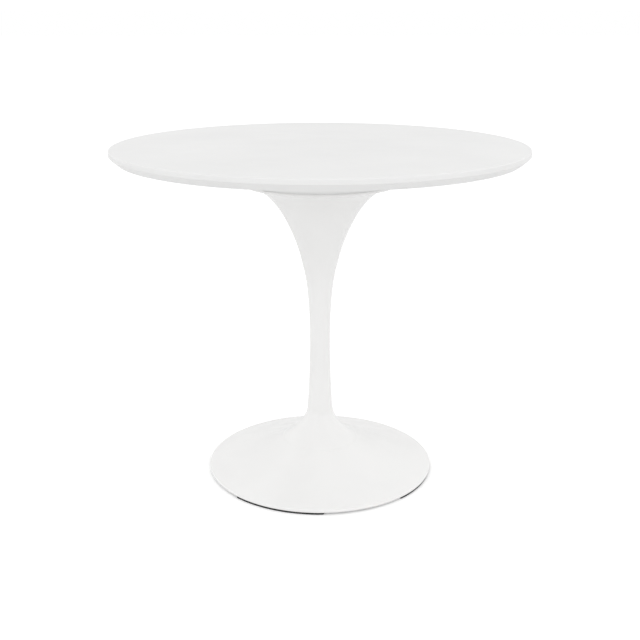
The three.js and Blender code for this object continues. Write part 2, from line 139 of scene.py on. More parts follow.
def round_corners(corners, steps=5):
    """The closed outline through corners (radius, height, fillet), each rounded by its fillet."""
    count = len(corners)
    outline = []
    for i, (r, z, fillet) in enumerate(corners):
        if not fillet:
            outline.append((r, z))
            continue
        corner = Vector((r, z))
        to_before = Vector(corners[i - 1][:2]) - corner
        to_after = Vector(corners[(i + 1) % count][:2]) - corner
        half = to_before.angle(to_after) / 2
        reach = fillet / math.tan(half)
        back, onward = to_before.normalized(), to_after.normalized()
        middle = corner + (back + onward).normalized() * fillet / math.sin(half)
        start = corner + back * reach - middle
        end = corner + onward * reach - middle
        first = math.atan2(start.y, start.x)
        sweep = (math.atan2(end.y, end.x) - first + math.pi) % TURN - math.pi
        if to_before.length > 2 * reach + 3 * SUPPORT:
            outline.append(tuple(corner + back * (reach + SUPPORT)))
        for k in range(steps + 1):
            a = first + sweep * k / steps
            outline.append((middle.x + fillet * math.cos(a), middle.y + fillet * math.sin(a)))
        if to_after.length > 2 * reach + 3 * SUPPORT:
            outline.append(tuple(corner + onward * (reach + SUPPORT)))
    return outline


# ---------------------------------------------------------------- meshes

def at(measure, angle):
    return measure(angle) if callable(measure) else measure


def ring_mesh(name, rings, facets):
    """Closed mesh through rings of (radius, height) about Z, in order from the bottom up the outside.
    A radius may be a function of the angle, and so may a height. Rings that start and end at
    radius 0 close on the axis, and others close on themselves."""
    vertices = []
    loops = []
    for ring_radius, height in rings:
        start = len(vertices)
        if ring_radius == 0:
            vertices.append((0, 0, at(height, 0) * MM))
            loops.append([start] * facets)
            continue
        for k in range(facets):
            angle = TURN * k / facets
            r = at(ring_radius, angle) * MM
            vertices.append((r * math.cos(angle), r * math.sin(angle), at(height, angle) * MM))
        loops.append(list(range(start, start + facets)))
    if rings[0][0] != 0:
        loops.append(loops[0])
    faces = []
    for lower, upper in zip(loops, loops[1:]):
        for k in range(facets):
            after = (k + 1) % facets
            corners = (lower[k], lower[after], upper[after], upper[k])
            faces.append(tuple(dict.fromkeys(corners)))
    mesh = bpy.data.meshes.new(name)
    mesh.from_pydata(vertices, [], faces)
    mesh.validate()
    return shade(mesh)


def swept_mesh(name, sections):
    """Closed mesh through sections with equal numbers of points (x, y, z), with flat ends."""
    count = len(sections[0])
    faces = []
    for k in range(len(sections) - 1):
        near, far = k * count, (k + 1) * count
        for i in range(count):
            after = (i + 1) % count
            faces.append((near + i, far + i, far + after, near + after))
    last = (len(sections) - 1) * count
    faces.append(tuple(range(count)))
    faces.append(tuple(reversed(range(last, last + count))))
    mesh = bpy.data.meshes.new(name)
    mesh.from_pydata([(x * MM, y * MM, z * MM) for section in sections for x, y, z in section], [], faces)
    return shade(mesh)


def shade(mesh, sharp_above=35):
    """Smooth shading, with sharp edges where faces meet at more than that many degrees."""
    mesh.shade_smooth()
    mesh.set_sharp_from_angle(angle=math.radians(sharp_above))
    return mesh


def hexagon(across_flats):
    """Radius of a hexagon as a function of the angle, with a corner at angle 0."""
    def reach(angle):
        from_flat = (angle % (TURN / 6)) - TURN / 12
        return across_flats / 2 / math.cos(from_flat)
    return reach


def washer_face(across_flats):
    """Radius of the flat circle that the chamfer leaves on the end of a hexagon."""
    return across_flats / 2 * 0.96


def chamfered(across_flats, edge, direction):
    """Height where a 30 degree chamfer cone cuts a hexagon's flats. Edge is the end face's height,
    and direction is 1 for a top face and -1 for a bottom face."""
    reach = hexagon(across_flats)
    slope = math.tan(math.radians(30))
    return lambda angle: edge - direction * (reach(angle) - washer_face(across_flats)) * slope


def thread_rings(size, depth, pitch, low, high, steps=8):
    """Rings of a helical thread of outer radius size, with its ends tapered to the root."""
    count = max(2, round((high - low) / pitch * steps))
    rings = []
    for k in range(count + 1):
        height = low + (high - low) * k / count
        fade = min(1.0, (height - low) / pitch, (high - height) / pitch)
        rings.append((thread_radius(size, depth, pitch, height, fade), height))
    return rings


def thread_radius(size, depth, pitch, height, fade):
    def reach(angle):
        phase = (height / pitch - angle / TURN) % 1.0
        crest = 1 - abs(2 * phase - 1)
        return size - depth + depth * fade * min(1.0, crest * 1.15)
    return reach


def copies(mesh, places):
    """One mesh with a copy of another at each place (x, y) in metres."""
    joined = bpy.data.meshes.new(mesh.name + "_set")
    vertices = []
    faces = []
    for x, y in places:
        start = len(vertices)
        vertices += [(x + v.co.x, y + v.co.y, v.co.z) for v in mesh.vertices]
        faces += [tuple(start + i for i in f.vertices) for f in mesh.polygons]
    joined.from_pydata(vertices, [], faces)
    return joined


def boolean(mesh, other, operation):
    """The mesh after an exact boolean with another one."""
    body = bpy.data.objects.new("boolean_body", mesh)
    tool = bpy.data.objects.new("boolean_tool", other)
    for thing in (body, tool):
        bpy.context.scene.collection.objects.link(thing)
    modifier = body.modifiers.new("boolean", "BOOLEAN")
    modifier.operation = operation
    modifier.solver = "EXACT"
    modifier.object = tool
    graph = bpy.context.evaluated_depsgraph_get()
    result = bpy.data.meshes.new_from_object(body.evaluated_get(graph))
    for thing in (body, tool):
        bpy.data.objects.remove(thing)
    result.name = mesh.name
    return shade(result)


def plug(name, size, low, high, facets=SMALL_FACETS):
    """A plain cylinder, used only to cut holes."""
    return ring_mesh(name, [(0, low), (size, low), (size, high), (0, high)], facets)


def piece(node, mesh, material, turn=0.0, place=None):
    """Shows a mesh in place of a CAD node. The mesh's own axis goes to a place (x, y), in metres, or
    else to the node's centre."""
    made = bpy.data.objects.new(node + "_fine", mesh)
    bpy.context.scene.collection.objects.link(made)
    made.location = (*(place or centre(node)), 0)
    made.rotation_euler = (0, 0, turn)
    if not mesh.materials:
        mesh.materials.append(material)
    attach(made, "root")
    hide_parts(node)
    return made


def pieces(stem, mesh, material, turn_step=0.8):
    """One copy of a mesh for each of the CAD nodes stem_1, stem_2 and so on, each turned a little more."""
    for i, node in enumerate(nodes_named(stem)):
        piece(node, mesh, material, turn=turn_step * i)


# ---------------------------------------------------------------- materials

class Finish:
    """A Principled material whose detail comes from noise in object space, in metres."""

    def __init__(self, name, roughness, metallic=0.0, ior=1.5):
        self.material = bpy.data.materials.new(name)
        self.material.use_nodes = True
        self.tree = self.material.node_tree
        self.shader = self.tree.nodes["Principled BSDF"]
        self.shader.inputs["Roughness"].default_value = roughness
        self.shader.inputs["Metallic"].default_value = metallic
        self.shader.inputs["IOR"].default_value = ior
        self.place = self.tree.nodes.new("ShaderNodeTexCoord").outputs["Object"]
        self.height = None

    def link(self, output, target):
        self.tree.links.new(output, target)

    def noise(self, size, detail=3.0, roughness=0.5, stretch=(1, 1, 1)):
        """Noise whose features are about size millimetres across."""
        place = self.place
        if stretch != (1, 1, 1):
            mapping = self.tree.nodes.new("ShaderNodeMapping")
            mapping.inputs["Scale"].default_value = stretch
            self.link(place, mapping.inputs["Vector"])
            place = mapping.outputs["Vector"]
        node = self.tree.nodes.new("ShaderNodeTexNoise")
        node.inputs["Scale"].default_value = 1 / (size * MM)
        node.inputs["Detail"].default_value = detail
        node.inputs["Roughness"].default_value = roughness
        self.link(place, node.inputs["Vector"])
        return node.outputs["Fac"]

    def cells(self, size):
        """Distance to the nearest of scattered points about size millimetres apart."""
        node = self.tree.nodes.new("ShaderNodeTexVoronoi")
        node.inputs["Scale"].default_value = 1 / (size * MM)
        self.link(self.place, node.inputs["Vector"])
        return node.outputs["Distance"]

    def between(self, value, low, high, new_low, new_high):
        """The value mapped smoothly from one range to another."""
        node = self.tree.nodes.new("ShaderNodeMapRange")
        node.interpolation_type = "SMOOTHSTEP"
        self.link(value, node.inputs["Value"])
        numbers = {"From Min": low, "From Max": high, "To Min": new_low, "To Max": new_high}
        for label, number in numbers.items():
            node.inputs[label].default_value = number
        return node.outputs["Result"]

    def mix(self, share, first, second):
        """A colour between two others. Each is (r, g, b) or another node's output."""
        node = self.tree.nodes.new("ShaderNodeMix")
        node.data_type = "RGBA"
        self.link(share, node.inputs["Factor"])
        for socket, colour in ((node.inputs[6], first), (node.inputs[7], second)):
            if isinstance(colour, tuple):
                socket.default_value = (*colour, 1)
            else:
                self.link(colour, socket)
        return node.outputs[2]

    def colour(self, output):
        self.link(output, self.shader.inputs["Base Color"])

    def roughness(self, output):
        self.link(output, self.shader.inputs["Roughness"])

    def bump(self, value, depth):
        """Adds relief of about depth millimetres to what is there."""
        node = self.tree.nodes.new("ShaderNodeBump")
        node.inputs["Strength"].default_value = 1.0
        node.inputs["Distance"].default_value = depth * MM
        self.link(value, node.inputs["Height"])
        if self.height is not None:
            self.link(self.height, node.inputs["Normal"])
        self.height = node.outputs["Normal"]
        self.link(self.height, self.shader.inputs["Normal"])


def lacquer(name, colour, gloss, ior, peel, depth):
    """Sprayed white paint: slow shifts of tone, uneven gloss, a faint waviness and fine orange peel."""
    finish = Finish(name, gloss, ior=ior)
    deeper = tuple(c * 0.975 for c in colour)
    tone = finish.between(finish.noise(180, 4), 0.35, 0.65, 0, 1)
    finish.colour(finish.mix(tone, deeper, colour))
    handled = finish.noise(45, 5, 0.6)
    finish.roughness(finish.between(handled, 0.3, 0.7, gloss - 0.03, gloss + 0.05))
    finish.bump(finish.noise(60, 2), depth * 3)
    finish.bump(finish.noise(peel, 2, 0.4), depth)
    return finish.material


def zinc_plate(name, colour, roughness):
    """Bright zinc on steel: blotchy crystals, a faint yellow passivate and fine rolling marks."""
    finish = Finish(name, roughness, metallic=1.0)
    blotch = finish.between(finish.noise(9, 4, 0.6), 0.35, 0.65, 0, 1)
    passivate = (colour[0] * 1.02, colour[1] * 0.97, colour[2] * 0.84)
    plated = finish.mix(blotch, colour, passivate)
    stain = finish.between(finish.noise(30, 5), 0.55, 0.75, 0, 0.5)
    finish.colour(finish.mix(stain, plated, tuple(c * 0.6 for c in colour)))
    finish.roughness(finish.between(finish.noise(4, 5), 0.3, 0.7, roughness - 0.08, roughness + 0.14))
    finish.bump(finish.noise(0.8, 3), 0.01)
    finish.bump(finish.noise(5, 2, stretch=(1, 14, 1)), 0.015)
    return finish.material


def brass(name):
    finish = Finish(name, 0.32, metallic=1.0)
    tarnish = finish.between(finish.noise(6, 5), 0.4, 0.7, 0, 0.7)
    finish.colour(finish.mix(tarnish, (0.72, 0.54, 0.22), (0.42, 0.29, 0.11)))
    finish.bump(finish.noise(0.5, 2, stretch=(1, 1, 10)), 0.012)
    return finish.material


def cast_iron(name):
    """A sand casting under thin black primer: pitted grain, worn and rust-tinged patches."""
    finish = Finish(name, 0.62, metallic=0.0)
    grain = finish.noise(1.6, 6, 0.65)
    tone = finish.between(finish.noise(26, 5), 0.35, 0.68, 0, 1)
    primer = finish.mix(tone, (0.026, 0.027, 0.029), (0.058, 0.06, 0.063))
    rust = finish.between(finish.noise(14, 7, 0.7), 0.62, 0.74, 0, 0.55)
    finish.colour(finish.mix(rust, primer, (0.13, 0.066, 0.034)))
    finish.roughness(finish.between(grain, 0.3, 0.7, 0.5, 0.78))
    finish.bump(finish.noise(7, 4), 0.25)
    finish.bump(grain, 0.22)
    return finish.material


def rubber(name):
    """Black rubber with a moulded grain, dulled by grey dust."""
    finish = Finish(name, 0.72, ior=1.45)
    dust = finish.between(finish.noise(11, 6, 0.65), 0.42, 0.75, 0, 0.55)
    finish.colour(finish.mix(dust, (0.012, 0.012, 0.013), (0.05, 0.048, 0.045)))
    finish.roughness(finish.between(finish.noise(5, 4), 0.3, 0.7, 0.6, 0.85))
    finish.bump(finish.noise(0.7, 3), 0.05)
    return finish.material


def foam(name):
    """Closed-cell foam tape: a fine cell pattern on off-white."""
    finish = Finish(name, 0.85)
    cell = finish.cells(0.9)
    finish.colour(finish.mix(finish.between(cell, 0.2, 0.7, 0, 1), (0.76, 0.76, 0.75), (0.82, 0.82, 0.81)))
    finish.bump(cell, 0.12)
    return finish.material


BOARD_LACQUER = lacquer("board_lacquer", (0.805, 0.805, 0.8), gloss=0.33, ior=1.4, peel=1.8, depth=0.0012)
METAL_LACQUER = lacquer("metal_lacquer", (0.87, 0.867, 0.86), gloss=0.19, ior=1.5, peel=2.6, depth=0.003)
ZINC = zinc_plate("zinc_plate", (0.62, 0.64, 0.66), 0.3)
PLATE_STEEL = zinc_plate("plate_steel", (0.5, 0.51, 0.53), 0.38)
BRASS = brass("brass")
CAST_IRON = cast_iron("cast_iron")
RUBBER = rubber("black_rubber")
FOAM = foam("foam_tape")


# ---------------------------------------------------------------- tabletop and hub

HUB_SCREW_HOLE = 2.55
COUNTERSINK_MOUTH = 5.1
INSERT_HOLE = 6.3
LOWER_HUB_RADIUS = 172
HUB_EDGE_ROUND = 0.3


def make_tabletop():
    """A board with a small eased top edge over a bevelled underside."""
    low, high, wide = bottom("tabletop"), top("tabletop"), radius("tabletop")
    bevel_width, bevel_height = 17, 14.5
    inner_round, bevel_round, top_round = 1.2, 1.4, 2.6
    outline = round_corners([
        (0, low, 0),
        (wide - bevel_width, low, inner_round),
        (wide, low + bevel_height, bevel_round),
        (wide, high, top_round),
        (0, high, 0),
    ], steps=8)
    board = ring_mesh("tabletop", outline, WIDE_FACETS)
    spare_depth = 1
    pilot = plug("pilot", HUB_SCREW_HOLE, low - PASS, top("hub_screw_1") + spare_depth, HOLE_FACETS)
    holes = copies(pilot, [centre(n) for n in nodes_named("hub_screw")])
    piece("tabletop", boolean(board, holes, "DIFFERENCE"), BOARD_LACQUER)


def hub_outline(low, high, low_radius, high_radius):
    return round_corners([
        (0, low, 0),
        (low_radius, low, HUB_EDGE_ROUND),
        (high_radius, high, HUB_EDGE_ROUND),
        (0, high, 0),
    ])


def make_hub():
    """Two boards under the top, with one taper cut round both."""
    low, high = bottom("hub_disc_lower"), bottom("tabletop") - HAIRLINE
    seam = bottom("hub_disc_upper")
    upper_radius = radius("hub_disc_upper")
    seam_radius = LOWER_HUB_RADIUS + (upper_radius - LOWER_HUB_RADIUS) * (seam - low) / (high - low)
    places = [centre(n) for n in nodes_named("hub_screw")]

    upper_outline = hub_outline(seam, high, seam_radius, upper_radius)
    upper = ring_mesh("hub_disc_upper", upper_outline, STEM_FACETS)
    through = plug("through", HUB_SCREW_HOLE, seam - PASS, high + PASS, HOLE_FACETS)
    piece("hub_disc_upper", boolean(upper, copies(through, places), "DIFFERENCE"), BOARD_LACQUER)

    lower_outline = hub_outline(low, seam - HAIRLINE, LOWER_HUB_RADIUS, seam_radius)
    lower = ring_mesh("hub_disc_lower", lower_outline, STEM_FACETS)
    cone_bottom, cone_top = low + 0.3, low + 3.3
    countersink = ring_mesh("countersink", [
        (0, low - PASS),
        (COUNTERSINK_MOUTH, low - PASS),
        (COUNTERSINK_MOUTH, cone_bottom),
        (HUB_SCREW_HOLE, cone_top),
        (HUB_SCREW_HOLE, seam + PASS),
        (0, seam + PASS),
    ], HOLE_FACETS)
    lower = boolean(lower, copies(countersink, places), "DIFFERENCE")
    spare_depth = 5
    pocket = plug("pocket", INSERT_HOLE, low - PASS, top("threaded_insert_1") + spare_depth, HOLE_FACETS)
    pockets = copies(pocket, [centre(n) for n in nodes_named("threaded_insert")])
    piece("hub_disc_lower", boolean(lower, pockets, "DIFFERENCE"), BOARD_LACQUER)


def make_hub_screws():
    """Countersunk wood screws with a coarse thread and a pointed tip."""
    low, high = bottom("hub_screw_1"), top("hub_screw_1")
    head, shank, crest, root = radius("hub_screw_1"), 2.2, 2.5, 1.5
    pitch, tip, thread_start = 2.4, 7, low + 25
    socket = [(0, low + 2.2), (1.5, low + 2.0), (2.1, low)]
    cone = [(head - 0.3, low), (head, low + 0.35), (shank, low + 3.1), (shank, thread_start - 1)]
    thread = thread_rings(crest, crest - root, pitch, thread_start, high - tip)
    point = [(root, high - tip + 0.5), (root * 0.5, high - tip / 2), (0, high)]
    pieces("hub_screw", ring_mesh("hub_screw", socket + cone + thread + point, HOLE_FACETS), ZINC)


# ---------------------------------------------------------------- mounting plate and its screws

# M8 screws, which hold the mounting plate and the ballast
M8_RADIUS = 4.0
M8_PITCH = 1.25
M8_HEAD_HEIGHT = 5.3
M8_CLEARANCE_HOLE = 4.3


def m8_screw(node):
    """A hexagon-head screw that points up: chamfered head, washer face and helical thread."""
    low, high = bottom(node), top(node)
    flats = across_flats_of(node)
    head_top = low + M8_HEAD_HEIGHT
    face = washer_face(flats)
    rings = [
        (0, low + 0.4),
        (face * 0.72, low + 0.4),
        (face * 0.78, low),
        (face, low),
        (hexagon(flats), chamfered(flats, low, -1)),
        (hexagon(flats), head_top - 0.4),
        (face, head_top - 0.35),
        (face, head_top),
        (M8_RADIUS + 0.25, head_top),
        (M8_RADIUS - 0.05, head_top + 0.4),
    ]
    rings += thread_rings(M8_RADIUS, M8_PITCH * 0.55, M8_PITCH, head_top + 1.2, high - 0.6, steps=6)
    rings += [(M8_RADIUS - M8_PITCH * 0.7, high), (0, high)]
    return ring_mesh(node, rings, HEX_FACETS)


def make_plate():
    """The steel plate in the bell and the screws that hold it."""
    low, high, wide = bottom("mounting_plate"), top("mounting_plate"), radius("mounting_plate")
    edge_round = 0.8
    outline = round_corners([
        (0, low, 0),
        (wide, low, edge_round),
        (wide, high, edge_round),
        (0, high, 0),
    ], steps=3)
    disc = ring_mesh("mounting_plate", outline, STEM_FACETS)
    hole = plug("hole", M8_CLEARANCE_HOLE, low - PASS, high + PASS, 32)
    holes = copies(hole, [centre(n) for n in nodes_named("mounting_screw")])
    piece("mounting_plate", boolean(disc, holes, "DIFFERENCE"), PLATE_STEEL)
    pieces("mounting_screw", m8_screw("mounting_screw_1"), ZINC, turn_step=0.37)


def make_inserts():
    """Brass inserts with a coarse outside thread."""
    low, high = bottom("threaded_insert_1"), top("threaded_insert_1")
    outside, bore, mouth = radius("threaded_insert_1"), 4.15, 4.6
    thread_depth, pitch = 0.9, 2.4
    rings = [(bore, low + 0.5), (mouth, low), (outside - 0.8, low)]
    rings += thread_rings(outside, thread_depth, pitch, low + 0.4, high - 0.6)
    rings += [(outside - 1.1, high), (mouth, high), (bore, high - 0.5)]
    pieces("threaded_insert", ring_mesh("threaded_insert", rings, THREAD_FACETS), BRASS)


def make_gasket():
    """Thin white foam squeezed between the bell's lip and the hub until its edges bulge flush."""
    low, high = top("stem") + HAIRLINE, bottom("hub_disc_lower") - HAIRLINE
    outer, inner = radius("bell_gasket"), 154
    bulge = (high - low) / 2
    rings = arc(outer - bulge, low + bulge, bulge, -90, 90, 6)
    rings += arc(inner + bulge, low + bulge, bulge, 90, 270, 6)
    piece("bell_gasket", ring_mesh("bell_gasket", rings, STEM_FACETS), FOAM)


# ---------------------------------------------------------------- pedestal

# The pedestal's outer outline as (radius, height): tapers above and below the waist, bell and foot
UPPER_TAPER = ((22.9, 303), (22.9, 448), (36.7, 474.8), (41.2, 497.7))
BELL = ((41.2, 497.7), (46.1, 522.7), (87.2, 663.4), (169.3, 669))
LOWER_TAPER = ((22.9, 303), (22.9, 293), (25, 145.8), (31.5, 130.1))
FOOT = ((31.5, 130.1), (61.8, 57.9), (157.5, 37.5), (258, 11.5))

STEM_WALL = 5
LIP_EDGE_ROUND = 0.4
LIP_LAND = 20  # width of the flat top of the bell's lip
BELL_FLOOR = (23, 482)
ROD_BORE, ROD_BORE_LOW, ROD_BORE_HIGH = 18, 131, 404
SOCKET_RADIUS, SOCKET_DEPTH = 52, 8  # where the stem sits on the base's spigot
SPIGOT_RADIUS, SPIGOT_BORE = 51.8, 40.7
SEAM_EASE = 0.25  # how far the stem's and the base's edges are eased where they meet
PIN_HOLE = 3.1
PIN_SPARE = 0.3


def make_stem():
    """The hollow trumpet: one smooth sweep from the foot to the bell's rolled lip."""
    low, high = bottom("stem"), top("stem")
    lip = radius("stem")
    nose = lip - BELL[3][0]
    ease = 0.5
    seam = parameter_at_height(FOOT, low)
    bell = bezier(BELL, 40)
    outside = bezier(FOOT, 20, seam, 0) + bezier(LOWER_TAPER, 16)[::-1][1:]
    outside += bezier(UPPER_TAPER, 16)[1:] + bell[1:]
    lip_nose = arc(lip - nose, BELL[3][1] + nose, nose, -90, 0, 8)[1:]
    lip_nose += arc(lip - LIP_EDGE_ROUND, high - LIP_EDGE_ROUND, LIP_EDGE_ROUND, 0, 90, 5)
    land = lip - nose - LIP_LAND
    least_height = BELL[0][1] + STEM_WALL
    inside = [p for p in offset(bell, STEM_WALL) if p[0] < land - STEM_WALL and p[1] > least_height]
    bore = [(land + ease, high), (land, high - ease)] + inside[::-1]
    bore += [BELL_FLOOR, (ROD_BORE, ROD_BORE_HIGH), (ROD_BORE, ROD_BORE_LOW)]
    socket_top = low + SOCKET_DEPTH
    bore += [(SOCKET_RADIUS - ease, socket_top + ease), (SOCKET_RADIUS, socket_top), (SOCKET_RADIUS, low)]
    edge = [(outside[0][0] - SEAM_EASE, low)]
    stem = ring_mesh("stem", edge + outside + lip_nose + bore, STEM_FACETS)
    hole = plug("pin_hole", PIN_HOLE, low - PASS, top("locating_pin_1") + PIN_SPARE, HOLE_FACETS)
    holes = copies(hole, [centre(n) for n in nodes_named("locating_pin")])
    piece("stem", boolean(stem, holes, "DIFFERENCE"), METAL_LACQUER)


def make_base():
    """The domed casting: rolled rim, hollow underside with bosses, spigot for the stem."""
    seat, rim_low, wide, spigot_top = bottom("stem") - HAIRLINE, bottom("base"), radius("base"), top("base")
    wall, rim_inner, rim_corner, vault_edge, vault_top = 6, wide - 16, wide - 8, 84, seat - 10.2
    rod_hole, ease = 9, 0.6
    seam = parameter_at_height(FOOT, seat)
    dome = bezier(FOOT, 60, seam, 1)
    vault = [p for p in offset(dome, -wall) if p[0] < rim_inner - 5 and p[1] < vault_top - 1.5]
    rim_inside = [
        (rim_inner - 1.2, 9.9),
        (rim_inner, 8.6),
        (rim_inner, rim_low + ease),
        (rim_inner + ease, rim_low),
    ]
    rim = round_corners([
        (rim_corner, rim_low, 0),
        (wide, rim_low, 2.4),
        (wide, FOOT[3][1] - 0.5, 3.0),
        (rim_corner, FOOT[3][1] + 1.4, 0),
    ], steps=8)[1:-1]
    spigot = [
        (dome[0][0] - SEAM_EASE, seat),
        (SPIGOT_RADIUS, seat),
        (SPIGOT_RADIUS, spigot_top - ease),
        (SPIGOT_RADIUS - ease, spigot_top),
        (SPIGOT_BORE + 0.5, spigot_top),
        (SPIGOT_BORE, spigot_top - 0.5),
        (SPIGOT_BORE, seat),
        (rod_hole, seat),
    ]
    underside = [(rod_hole, vault_top), (vault_edge, vault_top)] + vault + rim_inside
    outline = underside + rim + [p for p in dome[::-1] if p[0] < wide - 3.5] + spigot
    shell = ring_mesh("base", outline, WIDE_FACETS)
    piece("base", add_bosses(shell, seat), METAL_LACQUER)


def add_bosses(shell, seat):
    """The base with tapped bosses for the ballast's screws and holes for the locating pins."""
    screws = [centre(n) for n in nodes_named("ballast_screw")]
    boss_low, boss_top, tapped_hole, spare_depth = top("ballast_ring") + HAIRLINE, 43, 4.1, 2
    boss_outline = [(0, boss_low), (9.4, boss_low), (10, boss_low + 0.6), (11.5, boss_top), (0, boss_top)]
    boss = ring_mesh("boss", boss_outline, 40)
    shell = boolean(shell, copies(boss, screws), "UNION")
    thread = plug("thread", tapped_hole, boss_low - PASS, top("ballast_screw_1") + spare_depth, 32)
    shell = boolean(shell, copies(thread, screws), "DIFFERENCE")
    hole = plug("pin_hole", PIN_HOLE, bottom("locating_pin_1") - PIN_SPARE, seat + PASS, HOLE_FACETS)
    holes = copies(hole, [centre(n) for n in nodes_named("locating_pin")])
    return boolean(shell, holes, "DIFFERENCE")


def make_pins():
    """Plain dowels with rounded ends."""
    low, high, size = bottom("locating_pin_1"), top("locating_pin_1"), radius("locating_pin_1")
    end_round = 0.6
    outline = round_corners([
        (0, low, 0),
        (size, low, end_round),
        (size, high, end_round),
        (0, high, 0),
    ], steps=3)
    pieces("locating_pin", ring_mesh("locating_pin", outline, SMALL_FACETS), ZINC)


PAD_INNER, PAD_OUTER = 246, 258
PAD_SWEEP = 48
PAD_START, PAD_SPACING = -136, 90  # degrees from +X to the first pad's first end, and on to the next pad's
PAD_CORNER = 4


def pad_stations(length, half_width, steps=36, end_steps=6):
    """Places along a pad, each with its share of the full width, which falls off round the end corners."""
    ends = []
    for k in range(end_steps + 1):
        a = math.pi / 2 * k / end_steps
        ends.append((PAD_CORNER * (1 - math.cos(a)), 1 - PAD_CORNER / half_width * (1 - math.sin(a))))
    straight = [(PAD_CORNER + (length - 2 * PAD_CORNER) * k / steps, 1) for k in range(1, steps)]
    return ends + straight + [(length - along, share) for along, share in reversed(ends)]


def make_floor_pads():
    """Arcs of rubber that the table stands on, with rounded edges and rounded ends."""
    low, high = bottom("floor_pad_1"), bottom("base") - HAIRLINE
    middle, half = (PAD_INNER + PAD_OUTER) / 2, (PAD_OUTER - PAD_INNER) / 2
    floor_round, top_round = 0.6, 0.4
    section = round_corners([
        (-half, low, floor_round),
        (half, low, floor_round),
        (half, high, top_round),
        (-half, high, top_round),
    ], steps=4)
    stations = pad_stations(math.radians(PAD_SWEEP) * middle, half)
    for i, node in enumerate(nodes_named("floor_pad")):
        sections = []
        for along, share in stations:
            angle = math.radians(PAD_START + i * PAD_SPACING) + along / middle
            across = [(middle + x * share, z) for x, z in section]
            sections.append([(r * math.cos(angle), r * math.sin(angle), z) for r, z in across])
        piece(node, swept_mesh(node, sections), RUBBER, place=TABLE_AXIS)


# ---------------------------------------------------------------- tie rod and its hardware

def make_tie_rod():
    """A steel rod threaded at both ends."""
    low, high, size = bottom("tie_rod"), top("tie_rod"), radius("tie_rod")
    pitch, depth, lower_length, upper_length = 2.0, 1.1, 46, 52
    end, runout, shank = size - 1.4, 1.2, size - 0.1
    rings = [(0, low), (end, low), (size - depth, low + 0.4)]
    rings += thread_rings(size, depth, pitch, low + 0.8, low + lower_length)
    rings += [(shank, low + lower_length + runout), (shank, high - upper_length - runout)]
    rings += thread_rings(size, depth, pitch, high - upper_length, high - 0.8)
    rings += [(size - depth, high - 0.4), (end, high), (0, high)]
    piece("tie_rod", ring_mesh("tie_rod", rings, THREAD_FACETS), ZINC)


def hex_nut(node, bore):
    """A nut with both ends chamfered and the mouths of its bore countersunk."""
    low, high = bottom(node), top(node)
    flats = across_flats_of(node)
    face = washer_face(flats)
    mouth, mouth_depth = bore + 0.9, 1.0
    rings = [
        (bore, low + mouth_depth),
        (mouth, low),
        (face, low),
        (hexagon(flats), chamfered(flats, low, -1)),
        (hexagon(flats), chamfered(flats, high, 1)),
        (face, high),
        (mouth, high),
        (bore, high - mouth_depth),
    ]
    return ring_mesh(node, rings, HEX_FACETS)


def make_nuts():
    """The long coupling nut at the rod's top, and the nut under the base."""
    bore = radius("tie_rod") + HAIRLINE
    for node in ("coupling_nut", "tie_rod_nut"):
        piece(node, hex_nut(node, bore), ZINC)


def make_clamp_washer():
    """The thick washer that spreads the nut's load over the base."""
    low, high, size = bottom("clamp_washer"), top("clamp_washer"), radius("clamp_washer")
    hole, inner_round, outer_round = 9, 0.5, 0.9
    outline = round_corners([
        (hole, low, inner_round),
        (size, low, outer_round),
        (size, high, outer_round),
        (hole, high, inner_round),
    ], steps=3)
    piece("clamp_washer", ring_mesh("clamp_washer", outline, STEM_FACETS), PLATE_STEEL)


def make_spring_washer():
    """A square-section ring cut through once, its ends sprung slightly apart."""
    low, high = bottom("spring_washer"), top("spring_washer")
    outer, inner = 12.9, radius("tie_rod") + 0.3
    rise, opening = 0.2, math.radians(14)
    edge_round, steps = 0.4, 72
    section = round_corners([
        (inner, low + rise / 2, edge_round),
        (outer, low + rise / 2, edge_round),
        (outer, high - rise / 2, edge_round),
        (inner, high - rise / 2, edge_round),
    ], steps=3)
    sections = []
    for k in range(steps + 1):
        share = k / steps
        angle = opening / 2 + (TURN - opening) * share
        lift = rise * (share - 0.5)
        sections.append([(r * math.cos(angle), r * math.sin(angle), z + lift) for r, z in section])
    piece("spring_washer", swept_mesh("spring_washer", sections), ZINC, place=TABLE_AXIS)


# ---------------------------------------------------------------- ballast

def make_ballast():
    """An iron ring with counterbored holes for its screws."""
    low, high = bottom("ballast_ring"), top("ballast_ring")
    outer, inner = radius("ballast_ring"), 40
    outline = round_corners([(inner, low, 1.6), (outer, low, 2.2), (outer, high, 1.6), (inner, high, 1.2)])
    ring = ring_mesh("ballast_ring", outline, STEM_FACETS)
    seat = top("ballast_washer_1") + HAIRLINE
    hole, counterbore, mouth = 4.5, 11.0, 11.8
    cutter = ring_mesh("cutter", [
        (0, low - PASS),
        (mouth, low - PASS),
        (counterbore, low + 0.7),
        (counterbore, seat),
        (hole, seat),
        (hole, high + PASS),
        (0, high + PASS),
    ], SMALL_FACETS)
    screws = [centre(n) for n in nodes_named("ballast_screw")]
    piece("ballast_ring", boolean(ring, copies(cutter, screws), "DIFFERENCE"), CAST_IRON)


def make_ballast_hardware():
    """The ballast's flat washers and screws."""
    low, high, size = bottom("ballast_washer_1"), top("ballast_washer_1"), radius("ballast_washer_1")
    inner_round, outer_round = 0.25, 0.35
    outline = round_corners([
        (M8_CLEARANCE_HOLE, low, inner_round),
        (size, low, outer_round),
        (size, high, outer_round),
        (M8_CLEARANCE_HOLE, high, inner_round),
    ], steps=3)
    pieces("ballast_washer", ring_mesh("ballast_washer", outline, SMALL_FACETS), ZINC)
    pieces("ballast_screw", m8_screw("ballast_screw_1"), ZINC, turn_step=0.29)


# ---------------------------------------------------------------- stage, light and camera

